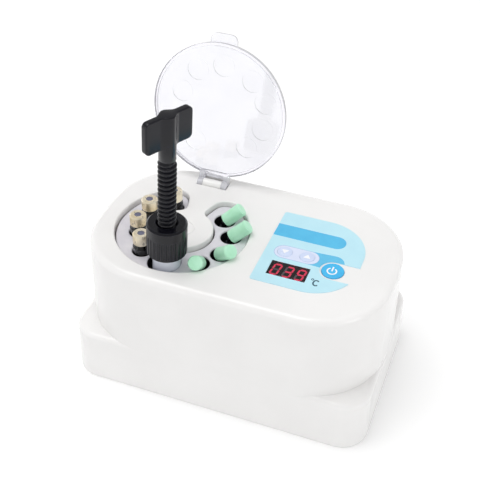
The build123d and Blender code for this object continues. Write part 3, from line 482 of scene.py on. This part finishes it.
FINISHES = {
    "white_gloss_plastic": moulded(
        "white_gloss", paint(243, 242, 241), paint(240, 239, 238), (0.14, 0.24), 1500.0, 0.00001, 30.0
    ),
    "grey_plastic": moulded(
        "base_cover", paint(214, 214, 212), paint(206, 206, 204), (0.4, 0.55), 1800.0, 0.00003
    ),
    "black_rubber": moulded(
        "black_rubber", paint(34, 34, 35), paint(44, 44, 45), (0.6, 0.8), 2500.0, 0.00004, 200.0
    ),
    "zinc_steel": metal("zinc_steel", paint(205, 206, 208), paint(176, 178, 184), wear_and_highlight=paint(235, 235, 235)),
    "anodised_aluminium": heated_block_metal(),
    "silicone_rubber": moulded(
        "heater_silicone", paint(186, 84, 44), paint(166, 70, 36), (0.5, 0.7), 1200.0, 0.00004, 150.0
    ),
    "insulating_plastic": moulded("posts", paint(232, 226, 204), paint(222, 214, 190), (0.45, 0.6)),
    "felt": felt_material(),
    "circuit_board": board_material(),
    # Paler edge colour on the black handle and collar: partly wear, partly a painted highlight along their
    # rounded edges.
    "black_plastic": moulded(
        "black_satin", paint(12, 12, 18), paint(18, 18, 26), (0.15, 0.24), 1600.0, 0.000012, 60.0,
        paint(82, 86, 102), Specular_IOR_Level=0.36
    ),
    "display_glass": glass("smoked_window", paint(124, 115, 120), paint(116, 107, 113), 0.08),
    "printed_label": printed("label_pale_blue", paint(193, 234, 246), paint(189, 231, 244)),
    "blue_plastic": moulded(
        "power_key_blue", paint(70, 188, 240), paint(64, 180, 235), (0.25, 0.35), 2200.0, 0.00001, 90.0
    ),
    "white_key_plastic": moulded(
        "arrow_key_lilac", paint(212, 223, 248), paint(206, 218, 245), (0.25, 0.35), 2200.0, 0.00001, 90.0
    ),
    "clear_plastic": clear_lid_plastic(),
    "grey_translucent_plastic": moulded(
        "barrel_grey", paint(232, 235, 245), paint(222, 226, 239), (0.14, 0.26), 1800.0, 0.00001, 50.0
    ),
    # The cartridge glass's grey tint is painted shade, darkening it like the shaded wells it stands in.
    "cartridge_glass": glass("cartridge_glass", paint(118, 118, 122), paint(104, 104, 110)),
    "grey_rubber": moulded(
        "seal_rubber", paint(108, 110, 132), paint(94, 96, 118), (0.5, 0.65), 2500.0, 0.00003
    ),
    # Paler edge colour on the crimped caps: a painted highlight along their rims.
    "gold_aluminium": metal(
        "crimped_cap", paint(251, 241, 219), paint(232, 213, 174), (0.26, 0.32), (500.0, 500.0), 0.000002,
        paint(253, 248, 234), 0.6
    ),
    # Paler edge colour on the mint caps: a painted highlight along their rims.
    "green_plastic": moulded(
        "mint_cap", paint(190, 243, 212), paint(178, 236, 201), (0.28, 0.4), 1800.0, 0.00001, 160.0,
        paint(214, 250, 228)
    ),
}
INKS = {
    "pale": FINISHES["printed_label"],
    "band": printed("ink_band_blue", paint(88, 192, 235), paint(82, 186, 231)),
    "swoosh": printed("ink_sweep_blue", paint(102, 196, 234), paint(96, 190, 230)),
    "line": printed("ink_outline_lilac", paint(168, 196, 230), paint(160, 190, 226)),
    "capsule": printed("ink_capsule_lilac", paint(222, 229, 250), paint(217, 225, 247)),
    "dark": printed("ink_dark_teal", paint(40, 84, 104), paint(34, 76, 96)),
    "white": printed("ink_white", paint(250, 250, 252), paint(244, 245, 250)),
}
SEGMENT_LIT = lit_segment("segment_lit", paint(255, 66, 102), paint(255, 80, 110), 3.7)
# Unlit segments and points get a faint painted glow, for light from the lit segments next to them.
SEGMENT_UNLIT_GLOW = lit_segment("segment_unlit_painted_glow", paint(172, 160, 165), paint(158, 146, 152), 1.25)
DIGIT_FACE = moulded("digit_face", paint(50, 44, 48), paint(58, 51, 56), (0.4, 0.5))

slots = {row["node"]: row["material_slot"] for row in frame["record"]["subparts"]}
for name, node in frame["nodes"].items():
    node.data.materials.clear()
    node.data.materials.append(FINISHES[slots[name]])
frame["nodes"]["display_module"].data.materials[0] = DIGIT_FACE


def piece(name, shape, body, materials, sharp=35):
    """Mesh object in the shared frame, from points in millimetres, faces and each face's material."""
    points, faces, inks = shape
    mesh = bpy.data.meshes.new(name)
    mesh.from_pydata([Vector(point) * MM for point in points], [], faces)
    for material in materials:
        mesh.materials.append(material)
    for polygon, ink in zip(mesh.polygons, inks):
        polygon.material_index = ink
    work = bmesh.new()
    work.from_mesh(mesh)
    bmesh.ops.remove_doubles(work, verts=work.verts, dist=1e-7)
    bmesh.ops.dissolve_degenerate(work, edges=work.edges, dist=1e-8)
    bmesh.ops.recalc_face_normals(work, faces=work.faces)
    work.to_mesh(mesh)
    work.free()
    mesh.shade_smooth()
    mesh.set_sharp_from_angle(angle=radians(sharp))
    item = bpy.data.objects.new(name, mesh)
    bpy.context.scene.collection.objects.link(item)
    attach(item, body)
    return item


def add_faces(shape, points, faces, ink=0):
    """Adds points and faces to a shape."""
    first = len(shape[0])
    shape[0].extend(points)
    shape[1].extend(tuple(first + i for i in face) for face in faces)
    shape[2].extend([ink] * len(faces))


def add_rings(shape, rings, ink=0):
    """Joins closed rings of points with quads, one to the next."""
    count = len(rings[0])
    faces = []
    for r in range(len(rings) - 1):
        for i in range(count):
            j = (i + 1) % count
            faces.append((r * count + i, r * count + j, (r + 1) * count + j, (r + 1) * count + i))
    add_faces(shape, [point for ring in rings for point in ring], faces, ink)


def add_plate(shape, outline, low, high, ink=0):
    """Flat plate with an outline, from one height to another."""
    count = len(outline)
    points = [(x, y, low) for x, y in outline] + [(x, y, high) for x, y in outline]
    faces = [tuple(range(count - 1, -1, -1)), tuple(range(count, 2 * count))]
    faces += [(i, (i + 1) % count, count + (i + 1) % count, count + i) for i in range(count)]
    add_faces(shape, points, faces, ink)


def rounded(corners, step=8.0):
    """Outline through (x, y, radius) corners, each rounded by its radius."""
    outline = []
    count = len(corners)
    for i, (x, y, radius) in enumerate(corners):
        corner = Vector((x, y))
        if radius <= 0:
            outline.append((x, y))
            continue
        back = (Vector(corners[i - 1][:2]) - corner).normalized()
        ahead = (Vector(corners[(i + 1) % count][:2]) - corner).normalized()
        half = back.angle(ahead) / 2
        reach = radius / sin(half)
        centre = corner + (back + ahead).normalized() * reach
        start = corner + back * (radius / tan(half)) - centre
        stop = corner + ahead * (radius / tan(half)) - centre
        turn = start.angle_signed(stop)
        steps = max(2, int(abs(turn) / radians(step)) + 1)
        for k in range(steps + 1):
            a = -turn * k / steps
            outline.append(
                (
                    centre.x + start.x * cos(a) - start.y * sin(a),
                    centre.y + start.x * sin(a) + start.y * cos(a),
                )
            )
    return outline


def circle(centre, radius, count=64):
    """Round outline."""
    return [
        (centre[0] + radius * cos(2 * pi * i / count), centre[1] + radius * sin(2 * pi * i / count))
        for i in range(count)
    ]


def arc_band(centre, radii, thickness, start, stop, count=28):
    """Outline of a bent bar along part of an oval, with the angles in degrees."""
    rows = []
    for side in (0.5, -0.5):
        row = []
        for i in range(count + 1):
            a = radians(start + (stop - start) * i / count)
            row.append(
                (
                    centre[0] + (radii[0] + side * thickness) * cos(a),
                    centre[1] + (radii[1] + side * thickness) * sin(a),
                )
            )
        rows.append(row)
    return rows[0] + rows[1][::-1]


def rounded_box(left, right, low, high, radius):
    """Outline of a box with rounded corners."""
    corners = [(left, low), (right, low), (right, high), (left, high)]
    return rounded([(x, y, radius) for x, y in corners], 6.0)


def inside(point, outline):
    """Whether a point is within an outline."""
    x, y = point
    hit = False
    for (x0, y0), (x1, y1) in zip(outline, outline[1:] + outline[:1]):
        if (y0 > y) != (y1 > y) and x < x0 + (y - y0) * (x1 - x0) / (y1 - y0):
            hit = not hit
    return hit


def make_label():
    """Label film with its print: title band, key capsule, sweep towards the power key, and the unit."""
    left = LABEL_X - LABEL_LENGTH / 2
    right = LABEL_X + LABEL_LENGTH / 2
    low = LABEL_Y - LABEL_WIDTH / 2
    high = LABEL_Y + LABEL_WIDTH / 2
    notch = NOTCH_WIDTH / 2
    power_x, power_y = POWER_KEY
    edge = rounded(
        [
            (left, low, LABEL_LEFT_CORNER),
            (right, low, LABEL_RIGHT_CORNER),
            (right, high, LABEL_RIGHT_CORNER),
            (left, high, LABEL_LEFT_CORNER),
        ],
        4.0,
    )
    beyond = right + 3
    steps = 40
    cut = [(beyond, power_y - notch)]
    for i in range(steps + 1):
        a = radians(270 - 180 * i / steps)
        cut.append((power_x + notch * cos(a), power_y + notch * sin(a)))
    cut.append((beyond, power_y + notch))
    display_x, display_y = DISPLAY
    window = [
        (display_x + sx * DISPLAY_LENGTH / 2, display_y + sy * DISPLAY_WIDTH / 2)
        for sx, sy in ((-1, -1), (1, -1), (1, 1), (-1, 1))
    ]
    holes = [
        cut,
        window,
        circle(UP_KEY, ARROW_HOLE_DIAMETER / 2, 48),
        circle(DOWN_KEY, ARROW_HOLE_DIAMETER / 2, 48),
    ]
    band = rounded(
        [
            (left - 1, BAND_LOW, 0),
            (BAND_END, BAND_LOW, BAND_CORNER),
            (BAND_END, BAND_HIGH, BAND_CORNER),
            (left - 1, BAND_HIGH, 0),
        ],
        6.0,
    )
    border_low = CAPSULE_LOW - CAPSULE_LINE
    border_high = CAPSULE_HIGH + CAPSULE_LINE
    capsule = rounded_box(CAPSULE_LEFT, CAPSULE_RIGHT, CAPSULE_LOW, CAPSULE_HIGH, CAPSULE_CORNER)
    border = rounded_box(
        CAPSULE_LEFT - CAPSULE_LINE,
        CAPSULE_RIGHT + CAPSULE_LINE,
        border_low,
        border_high,
        CAPSULE_CORNER + CAPSULE_LINE,
    )
    sweep = rounded(
        [(35.0, border_high, 0), (53.2, 2.4, 5.6), (54.6, -4.0, 0), (*POWER_KEY, 0), (35.0, border_low, 0)]
    )
    degree = circle(DEGREE_RING, DEGREE_RADII[0], 24)
    degree_hole = circle(DEGREE_RING, DEGREE_RADII[1], 24)
    letter = arc_band(UNIT_LETTER, UNIT_RADII, UNIT_STROKE, 42, 318)
    prints = [
        (degree_hole, "pale"),
        (degree, "dark"),
        (letter, "dark"),
        (capsule, "capsule"),
        (border, "line"),
        (sweep, "swoosh"),
        (band, "band"),
    ]
    inks = ["pale", "band", "swoosh", "line", "capsule", "dark"]

    # One flat mesh, cut along every outline
    points = []
    edges = []
    for outline in [edge] + holes + [outline for outline, _ in prints]:
        first = len(points)
        points.extend(Vector(point) for point in outline)
        edges.extend((first + i, first + (i + 1) % len(outline)) for i in range(len(outline)))
    flat, _, triangles, _, _, _ = delaunay_2d_cdt(points, edges, [], 0, 1e-6)
    shape = ([], [], [])
    kept = []
    for triangle in triangles:
        middle = sum((flat[i] for i in triangle), Vector((0, 0))) / len(triangle)
        if not inside(middle, edge) or any(inside(middle, hole) for hole in holes):
            continue
        ink = next((ink for outline, ink in prints if inside(middle, outline)), "pale")
        kept.append((tuple(triangle), inks.index(ink)))
    for ink in range(len(inks)):
        add_faces(shape, [(p.x, p.y, FILM_TOP) for p in flat], [t for t, i in kept if i == ink], ink)
    count = {}
    for triangle, _ in kept:
        for i, j in zip(triangle, triangle[1:] + triangle[:1]):
            count[frozenset((i, j))] = count.get(frozenset((i, j)), 0) + 1
    rim = [tuple(pair) for pair, uses in count.items() if uses == 1]
    both = [(p.x, p.y, FILM_TOP) for p in flat] + [(p.x, p.y, TOP) for p in flat]
    add_faces(shape, both, [(i, j, len(flat) + j, len(flat) + i) for i, j in rim])
    add_faces(shape, [(p.x, p.y, TOP) for p in flat], [t[::-1] for t, _ in kept])
    label = piece("label_print", shape, "case", [INKS[ink] for ink in inks], 20)
    loose = bmesh.new()
    loose.from_mesh(label.data)
    bmesh.ops.delete(loose, geom=[v for v in loose.verts if not v.link_faces], context="VERTS")
    loose.to_mesh(label.data)
    loose.free()
    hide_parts("panel_label")


def make_key_signs():
    """White signs on the keys: the power ring with its bar, and the two triangles."""
    low = KEY_TOP - SIGN_SUNK
    high = KEY_TOP + SIGN_RAISED
    shape = ([], [], [])
    x, y = POWER_KEY
    x, y = x - POWER_SIGN_SHIFT, y - POWER_SIGN_SHIFT
    radii = (POWER_RING_RADIUS, POWER_RING_RADIUS)
    add_plate(shape, arc_band((x, y - POWER_RING_DROP), radii, POWER_RING_STROKE, 122, 418), low, high)
    half = POWER_BAR_HALF
    top = y + POWER_BAR_TOP
    corners = [(x - half, y - half), (x + half, y - half), (x + half, top), (x - half, top)]
    add_plate(shape, rounded([(*corner, POWER_BAR_CORNER) for corner in corners]), low, high)
    piece("power_sign", shape, "power_key", [INKS["white"]], 20)
    for name, (x, y), side in (("up_sign", UP_KEY, 1), ("down_sign", DOWN_KEY, -1)):
        shape = ([], [], [])
        foot = y - side * ARROW_FOOT
        corners = [(x - ARROW_HALF, foot), (x + ARROW_HALF, foot), (x, y + side * ARROW_TIP)]
        outline = rounded([(*corner, ARROW_CORNER) for corner in corners[::side]])
        add_plate(shape, outline, low, high)
        piece(name, shape, name.replace("sign", "key"), [INKS["white"]], 20)


def make_digits():
    """Seven-segment digits on the display's face, with their points: the lit segments, and the unlit ones."""
    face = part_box("display_module")[1].z / MM
    low = face - SEGMENT_SUNK
    high = face + SEGMENT_RAISED
    lit_shape = ([], [], [])
    dark_shape = ([], [], [])
    width, height, bar = DIGIT_WIDTH, DIGIT_HEIGHT, SEGMENT_BAR
    half = height / 2
    segments = {
        "a": ((0, height), (width, height)),
        "b": ((width, height), (width, half)),
        "c": ((width, half), (width, 0)),
        "d": ((0, 0), (width, 0)),
        "e": ((0, half), (0, 0)),
        "f": ((0, height), (0, half)),
        "g": ((0, half), (width, half)),
    }
    lit = ("abcdef", "abcdg", "abcdfg")
    for index, on in enumerate(lit):
        x0 = DISPLAY[0] + FIRST_DIGIT[0] + DIGIT_STEP * index
        y0 = DISPLAY[1] + FIRST_DIGIT[1]
        for key, (start, stop) in segments.items():
            a = Vector(start)
            b = Vector(stop)
            along = (b - a).normalized()
            side = Vector((-along.y, along.x)) * bar / 2
            a = a + along * SEGMENT_GAP
            b = b - along * SEGMENT_GAP
            tip = along * bar / 2
            outline = []
            for corner in (a, a + tip - side, b - tip - side, b, b - tip + side, a + tip + side):
                cx = bar / 2 + corner.x * (width - bar) / width
                cy = bar / 2 + corner.y * (height - bar) / height
                outline.append((x0 + cx + (cy - half) * DIGIT_SLANT, y0 + cy))
            add_plate(lit_shape if key in on else dark_shape, outline, low, high)
        dot = circle((x0 + width + POINT_SHIFT[0], y0 + POINT_SHIFT[1]), POINT_RADIUS, 20)
        add_plate(dark_shape, dot, low, high)
    piece("digit_segments_lit", lit_shape, "case", [SEGMENT_LIT], 20)
    piece("digit_segments_dark", dark_shape, "case", [SEGMENT_UNLIT_GLOW], 20)


def on_syringe(point):
    """Point given across and along the syringe's leaning axis, in the shared frame."""
    lean = radians(SYRINGE_LEAN)
    x, y, z = point
    return (
        SYRINGE_FOOT[0] + x * cos(lean) + z * sin(lean),
        SYRINGE_FOOT[1] + y,
        SYRINGE_FOOT[2] - x * sin(lean) + z * cos(lean),
    )


def turned(radius, height, count=56):
    """Ring of points about the syringe's axis."""
    return [
        on_syringe((radius * cos(2 * pi * i / count), radius * sin(2 * pi * i / count), height))
        for i in range(count)
    ]


def threaded_ring(height, count=56):
    """Ring of points on the thread at one height, running out smoothly at both ends."""
    root = THREAD_ROOT_DIAMETER / 2
    crest = THREAD_DIAMETER / 2
    start = SCREW_CORE_START + THREAD_LEAD_IN
    above = max(0, (height - start) / THREAD_RUN_OUT)
    below = max(0, (THREAD_END - 0.4 - height) / THREAD_RUN_OUT)
    fade = min(1, above, below)
    ring = []
    for i in range(count):
        turn = 2 * pi * i / count
        phase = (height / THREAD_PITCH - i / count) % 1.0
        swell = max(0.0, 1 - (abs(phase - 0.5) / THREAD_RIDGE) ** 2) ** 0.6
        radius = root + (crest - root) * swell * fade
        ring.append(on_syringe((radius * cos(turn), radius * sin(turn), height)))
    return ring


def handle_half(u):
    """Half thickness of the handle at a place along its width: flat wings and a round middle."""
    flat = HANDLE_THICKNESS / 2
    swell = STEM_DIAMETER / 2 + 0.06 - flat
    reach = min(1.0, abs(u) / HANDLE_SWELL)
    return flat + swell * (0.5 + 0.5 * cos(pi * reach)) ** 1.05


def handle_outline(inset):
    """Lower and upper chains of the handle's rounded outline, drawn in by an inset, as (across, up)."""
    wide = HANDLE_WIDTH / 2 - inset
    tall = HANDLE_HEIGHT / 2 - inset
    corner = max(HANDLE_CORNER - inset, 0.2)
    steps = HANDLE_CORNER_STEPS
    lower = []
    for k in range(steps + 1):
        a = radians(180 + 90 * k / steps)
        lower.append((-wide + corner + corner * cos(a), -tall + corner + corner * sin(a)))
    reach = wide - corner
    inner = [-reach + 2 * reach * k / HANDLE_STRIPS for k in range(1, HANDLE_STRIPS)]
    lower += [(u, -tall) for u in inner]
    for k in range(steps + 1):
        a = radians(270 + 90 * k / steps)
        lower.append((wide - corner + corner * cos(a), -tall + corner + corner * sin(a)))
    return lower, [(u, -z) for u, z in lower]


def make_screw():
    """Threaded screw: round tip, rounded thread, smooth neck, and the flat handle with its soft edges."""
    shape = ([], [], [])
    rings = [turned(0.0, SCREW_TIP)]
    rings += [turned(radius, SCREW_TIP + height) for radius, height in SCREW_TIP_PROFILE]
    root = THREAD_ROOT_DIAMETER / 2
    rings.append(turned(root - 0.4, SCREW_CORE_START))
    rings.append(turned(root, SCREW_CORE_START + 0.5))
    steps = int((THREAD_END - SCREW_CORE_START - THREAD_LEAD_IN) / THREAD_PITCH * THREAD_STEPS_PER_TURN)
    first = SCREW_CORE_START + 0.8
    last = THREAD_END - 0.3
    rings += [threaded_ring(first + (last - first) * k / steps) for k in range(steps + 1)]
    neck = STEM_DIAMETER / 2
    rings += [turned(neck - 0.25, THREAD_END), turned(neck, THREAD_END + 0.35)]
    buried = HANDLE_BOTTOM + 2.0
    rings += [turned(neck, buried), turned(0.0, buried)]
    add_rings(shape, rings)

    # Handle: rings from the flat edge over the rounding to each face, then strips across the face
    turn = radians(HANDLE_TURN)
    middle = HANDLE_BOTTOM + HANDLE_HEIGHT / 2

    def at(u, v, z):
        return on_syringe((u * cos(turn) - v * sin(turn), u * sin(turn) + v * cos(turn), middle + z))

    sides = []
    for side in (1, -1):
        rings = []
        for k in range(HANDLE_EDGE_STEPS + 1):
            a = radians(90 * k / HANDLE_EDGE_STEPS)
            lower, upper = handle_outline(HANDLE_EDGE * (1 - cos(a)))
            drop = HANDLE_EDGE * (1 - sin(a))
            rings.append([at(u, side * (handle_half(u) - drop), z) for u, z in lower + upper[::-1]])
        add_rings(shape, rings)
        chain = len(lower)
        face = rings[-1]
        strips = [(i, i + 1, 2 * chain - 2 - i, 2 * chain - 1 - i) for i in range(chain - 1)]
        add_faces(shape, face, strips)
        sides.append(rings[0])
    add_rings(shape, [sides[0], sides[1]])
    screw = piece("screw_and_handle", shape, "screw", [FINISHES["black_plastic"]], 42)
    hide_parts("syringe_screw")


def make_lid():
    """The lid's own shape, with its rim, its ears and the edge of its tab in the milky edge material, which
    paints the light running along the plastic.
    """
    source = frame["nodes"]["lid"]
    mesh = source.data.copy()
    mesh.name = "lid_with_edges"
    mesh.materials.clear()
    mesh.materials.append(FINISHES["clear_plastic"])
    mesh.materials.append(lid_edge_painted_light())
    turn = radians(-LID_OPEN)
    for polygon in mesh.polygons:
        at = source.matrix_world @ polygon.center
        x = at.x / MM - LID_CENTRE[0]
        y = at.y / MM - LID_AXIS_Y
        z = at.z / MM - LID_AXIS_Z
        back = y * cos(turn) + z * sin(turn) + LID_AXIS_Y - LID_CENTRE[1]
        radius = hypot(x, back)
        rise = abs(polygon.normal.y * -sin(turn) + polygon.normal.z * cos(turn))
        ears = back > LID_AXIS_Y - LID_CENTRE[1] - LID_EAR_REACH
        edge = rise < LID_EDGE_RISE and radius > LID_RADIUS - LID_EDGE_REACH
        # Ears and steep edge faces take the milky edge material: painted light running along the plastic.
        polygon.material_index = 1 if ears or edge else 0
    lid = bpy.data.objects.new("lid_with_edges", mesh)
    lid.matrix_world = source.matrix_world.copy()
    bpy.context.scene.collection.objects.link(lid)
    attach(lid, "lid")
    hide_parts("lid")


def make_inlet_pin():
    """Bright sleeve over the socket's centre pin, with a rounded tip and a small bore."""
    low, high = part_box("power_inlet")
    x = (low.x + high.x) / 2 / MM
    z = (low.z + high.z) / 2 / MM
    out = high.y / MM - INLET_PIN_SETBACK
    shape = ([], [], [])
    rings = []
    for radius, depth in INLET_PIN_PROFILE:
        rings.append([(across, out - depth, up) for across, up in circle((x, z), radius, 32)])
    add_rings(shape, rings)
    piece("inlet_pin", shape, "case", [FINISHES["zinc_steel"]], 35)


def soft_lamp(name, place, size, power):
    """Soft square lamp that points at the part."""
    data = bpy.data.lights.new(name, "AREA")
    data.shape = "SQUARE"
    data.size = size
    data.energy = power
    lamp = bpy.data.objects.new(name, data)
    lamp.location = place
    lamp.rotation_mode = "QUATERNION"
    lamp.rotation_quaternion = (Vector(LAMP_AIM) - Vector(place)).to_track_quat("-Z", "Y")
    bpy.context.scene.collection.objects.link(lamp)


def seen_directly(tree):
    """Value that is 1 where the eye sees the surface, straight on, mirrored or through glass."""
    ray = tree.nodes.new("ShaderNodeLightPath").outputs
    seen = ray["Is Camera Ray"]
    for other in ("Is Glossy Ray", "Is Transmission Ray"):
        either = add(tree, "ShaderNodeMath", {0: seen, 1: ray[other]}, operation="ADD", use_clamp=True)
        seen = either.outputs[0]
    return seen


def make_stage():
    """Pale floor, soft lamps and a white surround that dims overhead."""
    mesh = bpy.data.meshes.new("floor")
    reach = FLOOR_REACH
    mesh.from_pydata(
        [(-reach, -reach, 0), (reach, -reach, 0), (reach, reach, 0), (-reach, reach, 0)], [], [(0, 1, 2, 3)]
    )
    floor = bpy.data.objects.new("floor", mesh)
    bpy.context.scene.collection.objects.link(floor)
    paper, tree, shader = new_material("floor_paper", Roughness=0.9)
    place = object_place(tree)
    shade = between(tree, noise(tree, place, 800.0, 2.0), 0.3, 0.7)
    colour = mixed(tree, shade, (0.97, 0.97, 0.97, 1), (0.95, 0.95, 0.95, 1))
    tree.links.new(colour, shader.inputs["Base Color"])
    away = add(tree, "ShaderNodeVectorMath", {0: place}, operation="LENGTH").outputs["Value"]
    lift = between(tree, away, 0.4, 1.5, FLOOR_LIFT_NEAR, FLOOR_LIFT_FAR)
    lift = between(tree, seen_directly(tree), 0.0, 1.0, 0.0, lift, "LINEAR")
    shader.inputs["Emission Color"].default_value = (1, 1, 1, 1)
    tree.links.new(lift, shader.inputs["Emission Strength"])
    floor.data.materials.append(paper)

    for name, spot, size, power in LAMPS:
        soft_lamp(name, spot, size, power)

    world = bpy.data.worlds.new("surround")
    bpy.context.scene.world = world
    world.use_nodes = True
    tree = world.node_tree
    backdrop = tree.nodes["Background"]
    backdrop.inputs["Color"].default_value = (1, 1, 1, 1)
    direction = add(tree, "ShaderNodeTexCoord").outputs["Generated"]
    up = add(tree, "ShaderNodeSeparateXYZ", {0: direction}).outputs["Z"]
    sky = between(tree, up, 0.25, 0.5, SKY_SEEN_LOW, SKY_SEEN_HIGH)
    strength = between(tree, seen_directly(tree), 0.0, 1.0, SKY_LIGHT, sky, "LINEAR")
    tree.links.new(strength, backdrop.inputs["Strength"])


def make_camera():
    """Camera at the photograph's place."""
    turn, rise, roll = radians(CAMERA_TURN), radians(CAMERA_RISE), radians(CAMERA_ROLL)
    back = Vector((sin(turn) * cos(rise), -cos(turn) * cos(rise), sin(rise)))
    level = Vector((cos(turn), sin(turn), 0))
    upright = back.cross(level)
    right = level * cos(roll) + upright * sin(roll)
    up = upright * cos(roll) - level * sin(roll)
    data = bpy.data.cameras.new("camera")
    data.lens = CAMERA_LENS
    data.sensor_width = 36.0
    data.clip_start = 0.01
    camera = bpy.data.objects.new("camera", data)
    place = Vector(CAMERA_AIM) * MM + back * CAMERA_DISTANCE
    camera.matrix_world = Matrix.Translation(place) @ Matrix((right, up, back)).transposed().to_4x4()
    bpy.context.scene.collection.objects.link(camera)
    bpy.context.scene.camera = camera


make_label()
make_key_signs()
make_digits()
make_screw()
make_lid()
make_inlet_pin()
make_stage()
make_camera()
bpy.context.scene.view_settings.view_transform = "Standard"
